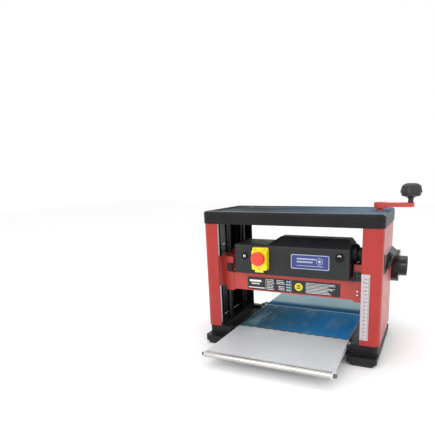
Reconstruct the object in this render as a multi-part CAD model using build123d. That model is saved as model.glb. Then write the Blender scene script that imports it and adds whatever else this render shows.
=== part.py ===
"""Portable thickness planer: a cutter carriage riding on four columns above a fixed bed, all sizes in mm.

Frame: origin on the floor under the centre of the four columns, +X to the operator's right,
+Y in the feed direction (towards the outfeed table), +Z up.
"""

import math
import os

from build123d import *

# ---- driving dimensions -------------------------------------------------------------------------
TABLE_WIDTH = 336.0  # bed and both folding tables, for stock up to 330 wide
BED_TOP = 42.0
BED_THICKNESS = 4.0
BED_FRONT = -73.0
BED_REAR = 142.0
TABLE_LENGTH = 190.0  # each folding table, measured from its hinge line

HOUSING_X = 253.0  # outer face of each side housing
HOUSING_Y = 118.0
HOUSING_INNER_X = 202.0  # inner edges of the right channel-shaped housing, whose flange carries the scale
LEFT_INNER_X = 207.0
HOUSING_BOTTOM = 50.0
SIDE_INNER_X = 177.0  # inner faces of the base's side blocks
SHEET = 2.5
HOUSING_RADIUS = 18.0

COVER_X = 255.0
COVER_Y = 120.0
COVER_BOTTOM = 356.5
COVER_TOP = 391.0
COVER_RADIUS = 20.0

COLUMN_X = 229.0
COLUMN_Y = 80.0
COLUMN_R = 12.0
COLUMN_BORE_R = 8.5
PLATE_BOTTOM = 367.0
PLATE_TOP = 373.0

SCREW_Y = -16.0  # lead screws stand between the columns on each side
SCREW_R = 7.5
JOURNAL_R = 6.0
RUNNING = 0.05  # radial clearance of every running fit

CUTTER_Z = 185.0  # cutter axis with the carriage at the stored height
CUTTER_R = 22.0
KNIFE_R = 25.0
ROLLER_Y = 44.0
ROLLER_Z = 174.0
ROLLER_R = 15.0
FEED_SHAFT_R = 6.0
PAWL_Y = -68.0
PAWL_Z = 178.0
PAWL_SHAFT_R = 3.0

BLOCK_X = 176.5  # inner face of each end block of the carriage
BLOCK_OUT = 200.0
BLOCK_Y = 84.0
BLOCK_BOTTOM = 155.0
BLOCK_TOP = 257.0
SIDE_PLATE = 7.5
ROOF_BOTTOM = 215.0
ROOF_TOP = 221.0

MOTOR_Y = -62.0
MOTOR_Z = 283.0
MOTOR_SHAFT_R = 6.0
STATOR_R = 35.5
STATOR_BORE = 24.0
MOTOR_PULLEY_R = 14.0
CUTTER_PULLEY_R = 21.0
BELT = 2.2

MCOVER_LEFT = -150.0
MCOVER_RIGHT = 172.0
MCOVER_FRONT = -122.0
MCOVER_REAR = -22.0
MCOVER_WALL = 3.0
MCOVER_EDGE = 301.0  # height of the front upper edge
MCOVER_LOW_TOP = 303.5
MCOVER_TOP = 322.0
HUMP_START = -52.0
HUMP_FULL = -29.0

SWITCH_X = -69.0
SWITCH_WIDTH = 44.0
SWITCH_BOTTOM = 235.5
SWITCH_TOP = 297.5
SWITCH_FRONT = -132.0
MUSHROOM_Z = 269.5
FLAP_FRONT = -140.0
START_Z = 247.5
RESET_X = -119.0
RESET_Z = 271.0
BRUSH_X = 147.0

PIVOT_Y = -80.0
PIVOT_Z = 33.5
PIVOT_R = 3.0
HINGE_RELIEF_R = 10.8  # round space in which a table's hinged edge swings
MIDDLE_Y = (BED_FRONT + BED_REAR) / 2  # the outfeed table mirrors the infeed table about this plane
TABLE_TIP = BED_FRONT - 1.0 - TABLE_LENGTH
TABLE_ROLLER_Y = TABLE_TIP - 8.0
TABLE_ROLLER_Z = 33.0
TABLE_ROLLER_R = 8.0
TABLE_AXLE_R = 3.0

GRIP_FRONT = -86.0  # hand hole in the outer face of each housing
GRIP_REAR = -2.0
GRIP_BOTTOM = 240.0
GRIP_TOP = 284.0
REST_REAR = 100.0  # rear end of the ribbed rest behind the right grip

CRANK_REACH = 74.0
CRANK_HUB_BOTTOM = 398.5
CRANK_HUB_TOP = 414.0
ARM_BOTTOM = 402.0
ARM_TOP = 413.0
KNOB_R = 27.0
KNOB_TOP = 461.0

CHAIN_PITCH = 8.0
CHAIN_ROLLER_R = 2.5
CHAIN_HALF_WIDTH = 3.4
LIFT_TEETH = 14
FEED_TEETH = 12

BOLT_X = 212.0  # bench bolt holes in the four feet
BOLT_Y = 127.0
BOLT_R = 4.5

PORT_Y = 180.0
PORT_Z = 205.0
PORT_R = 50.0
PORT_SMALL_R = 31.5
PORT_STEP_X = 271.0
PORT_END_X = 293.0
COLLECTOR_X = 182.0
COLLECTOR_END = 196.0

SIDES = (-1, 1)


# ---- small helpers ------------------------------------------------------------------------------
def block(x0, x1, y0, y1, z0, z1):
    """A box between two opposite corners."""
    middle = Pos((x0 + x1) / 2, (y0 + y1) / 2, (z0 + z1) / 2)
    return middle * Box(x1 - x0, y1 - y0, z1 - z0)


def rod_x(x0, x1, y, z, r):
    """A cylinder along X."""
    return Pos((x0 + x1) / 2, y, z) * Rot(0, 90, 0) * Cylinder(r, x1 - x0)


def rod_y(y0, y1, x, z, r):
    """A cylinder along Y."""
    return Pos(x, (y0 + y1) / 2, z) * Rot(90, 0, 0) * Cylinder(r, y1 - y0)


def rod_z(z0, z1, x, y, r):
    """A cylinder along Z."""
    return Pos(x, y, (z0 + z1) / 2) * Cylinder(r, z1 - z0)


def prism_x(points, x0, x1):
    """A (Y, Z) outline pushed along X."""
    face = make_face(Polyline(*points, close=True))
    return extrude(Plane.YZ.offset(x0) * face, x1 - x0)


def prism_y(points, y0, y1):
    """An (X, Z) outline pushed along Y."""
    face = make_face(Polyline(*points, close=True))
    return extrude(Plane.XZ.offset(-y0) * face, -(y1 - y0))


def prism_z(points, z0, z1):
    """An (X, Y) outline pushed along Z."""
    face = make_face(Polyline(*points, close=True))
    return extrude(Plane.XY.offset(z0) * face, z1 - z0)


def round_uprights(solid, radius, count=4, outward=None):
    """Round the vertical edges; with outward, only those furthest along X."""
    edges = solid.edges().filter_by(Axis.Z)
    if outward:
        edges = edges.sort_by(Axis.X)[-count:]
    return fillet(edges, radius)


def both_sides(solid):
    """A right-hand piece and its mirror image on the left."""
    return [solid, mirror(solid, about=Plane.YZ)]


def loop_face(circles):
    """The taut outline round a list of (u, v, r) circles."""
    edges = [Pos(u, v) * Edge.make_circle(r) for u, v, r in circles]
    return make_hull(edges)


def loop_band(circles, inner, outer, thickness, plane):
    """A flat endless band round the circles, between two offsets from their radii."""
    wide = loop_face([(u, v, r + outer) for u, v, r in circles])
    narrow = loop_face([(u, v, r + inner) for u, v, r in circles])
    return extrude(plane * (wide - narrow), thickness)


def pitch_radius(teeth):
    """Pitch radius of a chain wheel."""
    return CHAIN_PITCH / 2 / math.sin(math.pi / teeth)


def toothed_disc(teeth, thickness):
    """A chain wheel lying in the XY plane, its low teeth just inside the chain's rollers."""
    tip = pitch_radius(teeth) - CHAIN_ROLLER_R - 0.3
    wheel = Cylinder(tip, thickness, align=(Align.CENTER, Align.CENTER, Align.MIN))
    for i in range(teeth):
        gap = Cylinder(1.6, thickness, align=(Align.CENTER, Align.CENTER, Align.MIN))
        wheel -= Rot(0, 0, 360 * i / teeth) * Pos(tip + 0.5, 0, 0) * gap
    return wheel


def chain_loop(span, teeth):
    """A closed chain in the XY plane round two equal wheels a span apart, centred on the origin."""
    pitch = pitch_radius(teeth)
    wheels = [(-span / 2, 0, pitch), (span / 2, 0, pitch)]
    side, gap = 1.0, 4.4
    chain = None
    for z in (0.0, side + gap):
        plates = loop_band(wheels, -CHAIN_HALF_WIDTH, CHAIN_HALF_WIDTH, side, Plane.XY.offset(z))
        chain = plates if chain is None else chain + plates
    length = 2 * span + 2 * math.pi * pitch
    count = 2 * round(length / CHAIN_PITCH / 2)
    rollers = []
    for i in range(count):
        x, y = chain_point(i * length / count, span, pitch)
        rollers.append(rod_z(side / 2, side * 1.5 + gap, x, y, CHAIN_ROLLER_R))
    return chain.fuse(*rollers)


def chain_point(s, span, pitch):
    """The point a distance s along the chain's path."""
    arc = math.pi * pitch
    if s < span:
        return -span / 2 + s, pitch
    s -= span
    if s < arc:
        return span / 2 + pitch * math.sin(s / pitch), pitch * math.cos(s / pitch)
    s -= arc
    if s < span:
        return span / 2 - s, -pitch
    s -= span
    return -span / 2 - pitch * math.sin(s / pitch), -pitch * math.cos(s / pitch)


# ---- stand: base, bed, columns, top -------------------------------------------------------------
def base_deck():
    """Cast deck under the bed, bolted between the two side blocks of the base."""
    far_hinge = 2 * MIDDLE_Y - PIVOT_Y
    deck = block(-SIDE_INNER_X, SIDE_INNER_X, -64, 139, 28, BED_TOP - BED_THICKNESS)
    return deck - rod_x(-SIDE_INNER_X + 1, SIDE_INNER_X - 1, far_hinge, PIVOT_Z, HINGE_RELIEF_R + 0.7)


def base_sides():
    """Cast side blocks of the base, each on its foot plate, with arms for the outfeed hinge."""
    foot = round_uprights(block(172, 251, -140, 140, 8, 24), 10)
    raised = round_uprights(block(SIDE_INNER_X, 250, -116, 116, 24, HOUSING_BOTTOM), 16, 2, True)
    half = foot + raised
    half -= block(SIDE_INNER_X - 1, HOUSING_INNER_X + 2, -100, 100, 40.5, HOUSING_BOTTOM + 1)
    for y in (-COLUMN_Y, COLUMN_Y):
        half -= rod_z(12, 60, COLUMN_X, y, COLUMN_R)
        half -= rod_z(7, 30, BOLT_X, math.copysign(BOLT_Y, y), BOLT_R)
    half -= rod_z(34, 60, COLUMN_X, SCREW_Y, 9)
    for y in (-111.5, 111.5):
        half += block(212, 234, y - 4, y + 4, 49, 72) - rod_y(y - 5, y + 5, 226, 62, 2.5)
    arm = block(SIDE_INNER_X, 188, 100, 182, 14, 38)
    half += fillet(arm.edges().filter_by(Axis.X).group_by(Axis.Y)[-1], 6)
    half += rod_x(SIDE_INNER_X, 188, 2 * MIDDLE_Y - PIVOT_Y, PIVOT_Z, 9)
    stop_top = PIVOT_Z - 8.3
    half += block(163, 178, -112, -104, 16, stop_top)
    half += block(163, 178, 2 * MIDDLE_Y + 104, 2 * MIDDLE_Y + 112, 16, stop_top)
    for y in (PIVOT_Y, 2 * MIDDLE_Y - PIVOT_Y):
        half -= rod_x(170, 191, y, PIVOT_Z, PIVOT_R)
    return both_sides(half)


def rubber_feet():
    """Four rubber pads under the foot plates, with the bench bolt holes through them."""
    pads = []
    for sx in SIDES:
        for sy in SIDES:
            pad = round_uprights(block(182, 243, 96, 138, 0, 8), 8)
            pad -= rod_z(-1, 9, BOLT_X, BOLT_Y, BOLT_R)
            if sx < 0:
                pad = mirror(pad, about=Plane.YZ)
            if sy < 0:
                pad = mirror(pad, about=Plane.XZ)
            pads.append(pad)
    return pads


def bed_plate():
    """Polished steel bed, relieved along both hinge lines."""
    half = TABLE_WIDTH / 2
    bed = block(-half, half, BED_FRONT, BED_REAR, BED_TOP - BED_THICKNESS, BED_TOP)
    for y in (PIVOT_Y, 2 * MIDDLE_Y - PIVOT_Y):
        bed -= rod_x(-half - 1, half + 1, y, PIVOT_Z, HINGE_RELIEF_R)
    return bed


def guide_columns():
    """Four hard-chromed tubular columns, pressed into the base and bolted to the top plate."""
    columns = []
    for sx in SIDES:
        for sy in SIDES:
            column = rod_z(12, PLATE_BOTTOM, sx * COLUMN_X, sy * COLUMN_Y, COLUMN_R)
            column -= rod_z(11, PLATE_BOTTOM + 1, sx * COLUMN_X, sy * COLUMN_Y, COLUMN_BORE_R)
            columns.append(column)
    return columns


def top_plate():
    """Steel plate that ties the four columns together under the top cover."""
    plate = round_uprights(block(-251, 251, -116, 116, PLATE_BOTTOM, PLATE_TOP), 15)
    plate -= round_uprights(block(-185, 185, -70, 70, PLATE_BOTTOM - 1, PLATE_TOP + 1), 20)
    for sx in SIDES:
        plate -= rod_z(PLATE_BOTTOM - 1, PLATE_TOP + 1, sx * COLUMN_X, SCREW_Y, 9)
        for sy in SIDES:
            plate -= rod_z(PLATE_BOTTOM - 1, PLATE_TOP + 1, sx * COLUMN_X, sy * COLUMN_Y, 5)
            plate -= rod_z(PLATE_BOTTOM - 1, PLATE_TOP + 1, sx * 195, sy * 95, 2.5)
    return plate


def top_cover():
    """Moulded cover: a deep band round the head and a shallow tray in its top."""
    shell = round_uprights(block(-COVER_X, COVER_X, -COVER_Y, COVER_Y, COVER_BOTTOM, COVER_TOP), COVER_RADIUS)
    shell = fillet(shell.faces().sort_by(Axis.Z)[-1].edges(), 6)
    wall = COVER_X - HOUSING_X - 0.1
    inside = block(
        wall - COVER_X, COVER_X - wall, wall - COVER_Y, COVER_Y - wall, COVER_BOTTOM - 1, COVER_TOP - 5
    )
    shell -= round_uprights(inside, COVER_RADIUS - wall)
    left_end = [(-214, 104), (-240, 78), (-240, -78), (-214, -104)]
    tray = [*left_end, (176, -104), (202, -78), (202, 78), (176, 104)]
    shell -= prism_z(tray, COVER_TOP - 2.2, COVER_TOP + 1)
    step = [*left_end, (-190, -104), (-158, -60), (-158, 60), (-190, 104)]
    shell -= prism_z(step, COVER_TOP - 3.4, COVER_TOP)
    shell += rod_z(COVER_TOP - 4, COVER_TOP + 1.5, COLUMN_X, SCREW_Y, 19)
    shell -= rod_z(COVER_TOP - 8, COVER_TOP + 3, COLUMN_X, SCREW_Y, 10.6)
    for sx in SIDES:
        for sy in SIDES:
            shell += rod_z(PLATE_TOP, COVER_TOP - 4.5, sx * 195, sy * 95, 6)
            shell -= rod_z(PLATE_TOP - 1, COVER_TOP + 1, sx * 195, sy * 95, 2.5)
            shell -= rod_z(COVER_TOP - 4.4, COVER_TOP + 1, sx * 195, sy * 95, 5)
    return shell


def housing(side):
    """Channel of painted sheet that closes one pair of columns, open towards the machine's middle."""
    inner_x = HOUSING_INNER_X if side > 0 else LEFT_INNER_X
    outside = block(inner_x, HOUSING_X, -HOUSING_Y, HOUSING_Y, HOUSING_BOTTOM, PLATE_BOTTOM)
    outside = round_uprights(outside, HOUSING_RADIUS, 2, True)
    wall_x = HOUSING_X - SHEET
    wall_y = HOUSING_Y - SHEET
    inside = block(inner_x - 5, wall_x, -wall_y, wall_y, HOUSING_BOTTOM - 1, PLATE_BOTTOM + 1)
    shell = outside - round_uprights(inside, HOUSING_RADIUS - SHEET, 2, True)
    shell -= block(wall_x - 1, HOUSING_X + 1, GRIP_FRONT, GRIP_REAR, GRIP_BOTTOM, GRIP_TOP)
    for z in (62.0, 340.0):
        shell -= rod_y(wall_y - 1, HOUSING_Y + 1, 226, z, 2.5)
    return shell if side > 0 else mirror(shell, about=Plane.YZ)


def carry_grip():
    """Moulded finger cup in a housing's hand hole, with a rim on the outer face."""
    lip = 4
    rim = block(
        HOUSING_X, HOUSING_X + 2.5, GRIP_FRONT - lip, GRIP_REAR + lip, GRIP_BOTTOM - lip, GRIP_TOP + lip
    )
    rim = fillet(rim.edges().filter_by(Axis.X), 7)
    rim = fillet(rim.faces().sort_by(Axis.X)[-1].edges(), 1.2)
    cup = block(247.5, HOUSING_X + 0.5, GRIP_FRONT, GRIP_REAR, GRIP_BOTTOM, GRIP_TOP)
    wall = 2
    space = block(
        249.5, HOUSING_X + 6, GRIP_FRONT + wall, GRIP_REAR - wall, GRIP_BOTTOM + wall, GRIP_TOP - wall
    )
    return rim + cup - fillet(space.edges().filter_by(Axis.X), 6)


def carry_grips():
    """Finger cups in both housings; the right one runs on into a ribbed hand rest."""
    right, left = both_sides(carry_grip())
    rest = prism_y([(253, 277), (266.5, 266), (257, 232), (253, 232)], GRIP_REAR + 2, REST_REAR)
    for y in (14, 34, 54, 74, 94):
        rest += prism_y([(253, 276.5), (253, 280.5), (268.6, 267.8), (266.5, 262)], y, y + 6)
    return [right + rest, left]


def scale_strip():
    """Height scale on the front of the right housing."""
    return block(202.5, 224, -HOUSING_Y - 0.8, -HOUSING_Y, 65, 241)


def stand_screws():
    """Column bolts, cover screws and the screws that hold the housings."""
    screws = []
    for sx in SIDES:
        for sy in SIDES:
            bolt = rod_z(345, PLATE_TOP, sx * COLUMN_X, sy * COLUMN_Y, 5)
            head = Pos(sx * COLUMN_X, sy * COLUMN_Y, PLATE_TOP) * extrude(RegularPolygon(8.5, 6), 6.4)
            screws.append(bolt + head)
            shank = rod_z(PLATE_BOTTOM, COVER_TOP - 4.4, sx * 195, sy * 95, 2.5)
            pan = rod_z(COVER_TOP - 4.4, COVER_TOP - 2.6, sx * 195, sy * 95, 4.6)
            slot = block(sx * 195 - 3, sx * 195 + 3, sy * 95 - 0.5, sy * 95 + 0.5, COVER_TOP - 3.5, COVER_TOP)
            screws.append(shank + pan - slot)
        shank = rod_y(108, HOUSING_Y, sx * 226, 62, 2.5)
        screws.append(shank + rod_y(HOUSING_Y, HOUSING_Y + 2.4, sx * 226, 62, 4.8))
        shank = rod_y(HOUSING_Y - SHEET - 4, HOUSING_Y, sx * 226, 340, 2.5)
        screws.append(shank + rod_y(HOUSING_Y, HOUSING_Y + 2.4, sx * 226, 340, 4.8))
    return screws


def screw_bushes():
    """Bronze bushes at the foot and head of each lead screw."""
    bushes = []
    for sx in SIDES:
        for low, high in ((34, HOUSING_BOTTOM), (PLATE_BOTTOM, PLATE_TOP)):
            bush = rod_z(low, high, sx * COLUMN_X, SCREW_Y, 9)
            bushes.append(bush - rod_z(low - 1, high + 1, sx * COLUMN_X, SCREW_Y, JOURNAL_R + RUNNING))
    return bushes


def lift_chain():
    """Closed chain that makes the left lead screw turn with the right one."""
    return Pos(0, SCREW_Y, 376.8) * chain_loop(2 * COLUMN_X, LIFT_TEETH)


def table_pivot_pins():
    """Shoulder bolts on which the two tables fold."""
    pins = []
    for sx in SIDES:
        for y in (PIVOT_Y, 2 * MIDDLE_Y - PIVOT_Y):
            pin = rod_x(160, 188, y, PIVOT_Z, PIVOT_R) + rod_x(168.5, 176.8, y, PIVOT_Z, 7)
            pin += rod_x(158, 165, y, PIVOT_Z, 5.2)
            pins.append(pin if sx > 0 else mirror(pin, about=Plane.YZ))
    return pins


# ---- lift: lead screws, wheels, crank -----------------------------------------------------------
def lead_screw(side):
    """Trapezoidal lead screw, drawn at its pitch diameter with plain journals."""
    x = side * COLUMN_X
    top = CRANK_HUB_TOP - 9 if side > 0 else 386.5 - 2.5
    screw = rod_z(51, 361, x, SCREW_Y, SCREW_R)
    screw = chamfer(screw.edges().filter_by(GeomType.CIRCLE), 1)
    screw += rod_z(36, 52, x, SCREW_Y, JOURNAL_R) + rod_z(360, top, x, SCREW_Y, JOURNAL_R)
    if side > 0:
        screw -= rod_z(395, top + 1, x, SCREW_Y, 3)
    return screw


def lift_sprocket(side):
    """Chain wheel with its hub, on the upper journal of a lead screw."""
    wheel = Pos(0, 0, 378.6) * toothed_disc(LIFT_TEETH, 2.8) + rod_z(374, 378.6, 0, 0, 10)
    wheel -= rod_z(370, 390, 0, 0, JOURNAL_R)
    return Pos(side * COLUMN_X, SCREW_Y, 0) * wheel


def crank_arm():
    """Cast crank: hub with a neck that enters the cover, and a tapered arm."""
    x, y = COLUMN_X, SCREW_Y
    hub = rod_z(CRANK_HUB_BOTTOM, CRANK_HUB_TOP, x, y, 17)
    hub = fillet(hub.edges().filter_by(GeomType.CIRCLE), 1.5)
    arm_outline = loop_face([(x, y, 14), (x + CRANK_REACH, y, 9.5)])
    arm = extrude(Plane.XY.offset(ARM_BOTTOM) * arm_outline, ARM_TOP - ARM_BOTTOM)
    arm = fillet(arm.faces().filter_by(Axis.Z).edges(), 1.5)
    crank = hub + arm + rod_z(388, CRANK_HUB_BOTTOM + 1, x, y, 10)
    crank -= rod_z(387, CRANK_HUB_TOP - 9, x, y, JOURNAL_R)
    crank -= rod_z(400, 410, x, y, 3) + rod_z(CRANK_HUB_TOP - 5, CRANK_HUB_TOP + 1, x, y, 6)
    crank -= rod_z(ARM_BOTTOM - 1, ARM_BOTTOM + 3, x + CRANK_REACH, y, 6)
    return crank - rod_z(ARM_BOTTOM, ARM_TOP + 1, x + CRANK_REACH, y, 4)


def crank_bolts():
    """Screw that holds the crank on the lead screw, and the stud that carries the knob."""
    x, y = COLUMN_X, SCREW_Y
    screw = rod_z(395, CRANK_HUB_TOP - 5, x, y, 3) + rod_z(CRANK_HUB_TOP - 5, CRANK_HUB_TOP - 0.4, x, y, 5.5)
    screw -= Pos(x, y, CRANK_HUB_TOP - 3) * extrude(RegularPolygon(2.9, 6), 4)
    stud = rod_z(ARM_BOTTOM + 0.5, 450, x + CRANK_REACH, y, 4)
    stud += rod_z(ARM_BOTTOM + 0.5, ARM_BOTTOM + 3, x + CRANK_REACH, y, 6)
    return [screw, stud]


def crank_knob():
    """Ribbed mushroom knob that spins on the crank's stud."""
    foot = ARM_TOP + 0.4
    stem = [(0, foot), (8, foot), (6.5, foot + 2), (6.5, 423), (11, 427)]
    collar = [(22.5, 430.5), (24, 432.5), (24, 437)]
    skirt = [(KNOB_R, 438.5), (24.9, 448), (23, 455)]
    side = Polyline(*stem, *collar, *skirt)
    dome = Spline(skirt[-1], (18, 459), (0, KNOB_TOP))
    axis_line = Line((0, KNOB_TOP), stem[0])
    knob = revolve(Plane.XZ * make_face([side, dome, axis_line]), Axis.Z)
    for i in range(20):
        groove = Rot(0, 0, 18 * i) * Pos(KNOB_R - 0.6, 0, 447) * Rot(0, -13.6, 0) * Cylinder(2.2, 20)
        knob -= groove
    knob = Pos(COLUMN_X + CRANK_REACH, SCREW_Y, 0) * knob
    return knob - rod_z(ARM_TOP, 450.6, COLUMN_X + CRANK_REACH, SCREW_Y, 4 + RUNNING)


# ---- carriage: frame and what is fixed to it ----------------------------------------------------
def end_block():
    """Right end of the carriage casting: side plate, flanges, column bosses and screw bridge."""
    end = block(BLOCK_X, BLOCK_X + SIDE_PLATE, -BLOCK_Y, BLOCK_Y, BLOCK_BOTTOM, BLOCK_TOP)
    inner = BLOCK_X + SIDE_PLATE
    end += block(inner, BLOCK_OUT, -BLOCK_Y, -BLOCK_Y + 6, BLOCK_BOTTOM, BLOCK_TOP)
    end += block(inner, BLOCK_OUT, BLOCK_Y - 6, BLOCK_Y, BLOCK_BOTTOM, BLOCK_TOP)
    end += block(HOUSING_INNER_X, 243, -COLUMN_Y, COLUMN_Y, 180, 196)
    end += block(inner, 243, -BLOCK_Y, BLOCK_Y, BLOCK_TOP - 6, BLOCK_TOP)
    for sy in SIDES:
        low, high = sorted((sy * 76, sy * BLOCK_Y))
        end += block(BLOCK_OUT - 1, 218, low, high, 168, BLOCK_TOP)
        end += rod_z(168, BLOCK_TOP, COLUMN_X, sy * COLUMN_Y, 17)
    end += rod_z(176, 200, COLUMN_X, SCREW_Y, 16)
    for sy in SIDES:
        end -= rod_z(160, 260, COLUMN_X, sy * COLUMN_Y, 14)
        end -= rod_x(BLOCK_X - 1, inner + 1, sy * ROLLER_Y, ROLLER_Z, 10)
    end -= rod_z(170, 210, COLUMN_X, SCREW_Y, 12)
    end -= rod_z(BLOCK_TOP - 7, BLOCK_TOP + 1, COLUMN_X, SCREW_Y, 9)
    end -= rod_x(BLOCK_X - 1, inner + 1, 0, CUTTER_Z, 17)
    end -= rod_x(BLOCK_X - 1, inner + 1, PAWL_Y, PAWL_Z, PAWL_SHAFT_R)
    return end


def carriage_frame():
    """Cast frame of the cutter carriage: two end blocks, front and rear beams, and a roof."""
    right = end_block() - block(BLOCK_X + SIDE_PLATE + 0.1, BLOCK_OUT - 0.5, -77, -4, 250, 260)
    frame = block(-BLOCK_X - 1, BLOCK_X + 1, -BLOCK_Y, BLOCK_Y, ROOF_BOTTOM, ROOF_TOP)
    frame += block(-BLOCK_X - 1, BLOCK_X + 1, -82, -76, 160, ROOF_BOTTOM + 1)
    rear = block(-BLOCK_X - 1, BLOCK_X + 1, 76, 82, 176, ROOF_BOTTOM + 1)
    frame += rear - block(-160, 160, 70, 90, 184, 207)
    for x in (-110, 0, 110):
        frame += block(x - 3, x + 3, -77, 77, CUTTER_Z + KNIFE_R + 1.5, ROOF_BOTTOM + 1)
    return frame + right + mirror(end_block(), about=Plane.YZ)


def column_bushes():
    """Bronze bushes in the carriage bosses, two on each column."""
    bushes = []
    for sx in SIDES:
        for sy in SIDES:
            for low, high in ((168, 190), (BLOCK_TOP - 22, BLOCK_TOP)):
                bush = rod_z(low, high, sx * COLUMN_X, sy * COLUMN_Y, 14)
                bore = rod_z(low - 1, high + 1, sx * COLUMN_X, sy * COLUMN_Y, COLUMN_R + RUNNING)
                bushes.append(bush - bore)
    return bushes


def lead_nuts():
    """Flanged bronze nuts that carry the carriage on the lead screws."""
    nuts = []
    for sx in SIDES:
        nut = rod_z(176, 200, sx * COLUMN_X, SCREW_Y, 12) + rod_z(200, 205, sx * COLUMN_X, SCREW_Y, 15.5)
        nuts.append(nut - rod_z(170, 210, sx * COLUMN_X, SCREW_Y, SCREW_R + RUNNING))
    return nuts


def depth_pointer():
    """Pointer plate that reads against the height scale, with its two screws."""
    plate = prism_y([(181, 172), (196, 172), (199.5, 181), (196, 190), (181, 190)], -BLOCK_Y - 1.2, -BLOCK_Y)
    for z in (176, 186):
        plate += rod_y(-BLOCK_Y - 3, -BLOCK_Y - 1, 188, z, 2.8)
    return plate


def cover_brackets():
    """Angle brackets that hold the motor cover to the front of the end blocks."""
    bracket = block(178, 196, -BLOCK_Y - 3, -BLOCK_Y, 213, 238)
    bracket += block(170, 181, -BLOCK_Y - 10, -BLOCK_Y, 213, 217.5)
    bracket += block(178, 181, -BLOCK_Y - 10, -BLOCK_Y, 213, 238)
    for z in (219, 232):
        bracket += Pos(189, -BLOCK_Y - 3, z) * Rot(90, 0, 0) * extrude(RegularPolygon(4.6, 6), 3.2)
    return both_sides(bracket)


def motor_envelope(inset):
    """The motor cover's outer form, or the space inside it when inset by the wall."""
    outline = [
        (MCOVER_FRONT, ROOF_TOP),
        (MCOVER_FRONT, MCOVER_EDGE),
        (-84, 319.5),
        (-77, MCOVER_TOP),
        (-40, MCOVER_TOP),
        (MCOVER_REAR, 300),
        (MCOVER_REAR, ROOF_TOP),
    ]
    section = make_face(Polyline(*outline, close=True))
    section = fillet(section.vertices().sort_by(Axis.Y)[2:], 5)
    steps = [
        (MCOVER_LEFT, ROOF_TOP),
        (MCOVER_RIGHT, ROOF_TOP),
        (MCOVER_RIGHT, MCOVER_EDGE + 4),
        (MCOVER_RIGHT - 9, MCOVER_TOP),
        (HUMP_FULL, MCOVER_TOP),
        (HUMP_START, MCOVER_LOW_TOP),
        (MCOVER_LEFT, MCOVER_LOW_TOP),
    ]
    side_view = make_face(Polyline(*steps, close=True))
    side_view = fillet(side_view.vertices().sort_by(Axis.Y)[2:], 4)
    if inset:
        section = offset(section, -inset, kind=Kind.INTERSECTION)
        side_view = offset(side_view, -inset, kind=Kind.INTERSECTION)
    along = extrude(Plane.YZ.offset(-200) * section, 400)
    across = extrude(Plane.XZ.offset(200) * side_view, -400)
    return along & across


def motor_cover():
    """Moulded cover over the motor, open below where it stands on the carriage roof."""
    wall = MCOVER_WALL
    cover = motor_envelope(0) - motor_envelope(wall)
    left, right = MCOVER_LEFT + wall, MCOVER_RIGHT - wall
    cover -= block(left, right, -80, MCOVER_REAR - wall, ROOF_TOP - 1, ROOF_TOP + wall + 1)
    cover -= rod_x(right - 1, MCOVER_RIGHT + 1, MOTOR_Y, MOTOR_Z, 20)
    cover -= rod_y(MCOVER_FRONT - 1, MCOVER_FRONT + wall + 1, BRUSH_X, MOTOR_Z - 3, 9)
    cover -= rod_y(MCOVER_REAR - wall - 1, MCOVER_REAR + 1, BRUSH_X, MOTOR_Z - 3, 9)
    cover -= rod_y(MCOVER_REAR - wall - 1, MCOVER_REAR + 1, -125, 246, 7)
    ring = rod_y(MCOVER_FRONT - 1.6, MCOVER_FRONT + wall, RESET_X, RESET_Z, 11)
    cover += ring
    cover -= rod_y(MCOVER_FRONT - 3, MCOVER_FRONT + wall + 1, RESET_X, RESET_Z, 6 + 3 * RUNNING)
    for i in range(7):
        z = 236 + 9 * i
        cover -= block(MCOVER_LEFT - 1, left + 1, -100, -45, z, z + 3)
    seam = block(8, 9.2, MCOVER_FRONT - 1, MCOVER_FRONT + 0.8, ROOF_TOP - 1, MCOVER_EDGE - 1)
    return cover - seam


def motor_stator():
    """Field pack of the motor on its two saddles, with the left shaft bracket."""
    stator = rod_x(14, 105, MOTOR_Y, MOTOR_Z, STATOR_R)
    for x in (22, 76):
        stator += block(x, x + 20, MOTOR_Y - 15, MOTOR_Y + 20, ROOF_TOP, MOTOR_Z - 30)
    stator -= rod_x(10, 106, MOTOR_Y, MOTOR_Z, STATOR_BORE)
    stator += block(4, 15, MOTOR_Y - 12, MOTOR_Y + 12, ROOF_TOP, MOTOR_Z - 29)
    stator += block(4, 10, MOTOR_Y - 12, MOTOR_Y + 12, ROOF_TOP, MOTOR_Z + 12)
    return stator - rod_x(3, 11, MOTOR_Y, MOTOR_Z, MOTOR_SHAFT_R + RUNNING)


def motor_end_bell():
    """End bell that carries the motor's drive-side bearing, outside the motor cover."""
    bell = rod_x(MCOVER_RIGHT, 184.8, MOTOR_Y, MOTOR_Z, 25)
    bell = chamfer(bell.edges().filter_by(GeomType.CIRCLE).sort_by(Axis.X)[-1], 3)
    bell += rod_x(168, MCOVER_RIGHT + 1, MOTOR_Y, MOTOR_Z, 20)
    for i in range(8):
        hole = Pos(184, MOTOR_Y, MOTOR_Z) * Rot(45 * i, 0, 0) * Pos(0, 0, 17) * Rot(0, 90, 0)
        bell -= hole * Cylinder(2, 8)
    return bell - rod_x(160, 190, MOTOR_Y, MOTOR_Z, MOTOR_SHAFT_R + RUNNING)


def brush_caps():
    """Screw caps over the two carbon brushes, front and rear of the motor cover."""
    caps = []
    z = MOTOR_Z - 3
    for face, out in ((MCOVER_FRONT, -1), (MCOVER_REAR, 1)):
        low, high = sorted((face + out * 2.2, face - out * 10))
        cap = rod_y(low, high, BRUSH_X, z, 9)
        low, high = sorted((face, face + out * 2.2))
        cap += rod_y(low, high, BRUSH_X, z, 11.5)
        low, high = sorted((face + out * 1, face + out * 4))
        cap -= block(BRUSH_X - 7, BRUSH_X + 7, low, high, z - 1.2, z + 1.2)
        caps.append(cap)
    return caps


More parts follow.
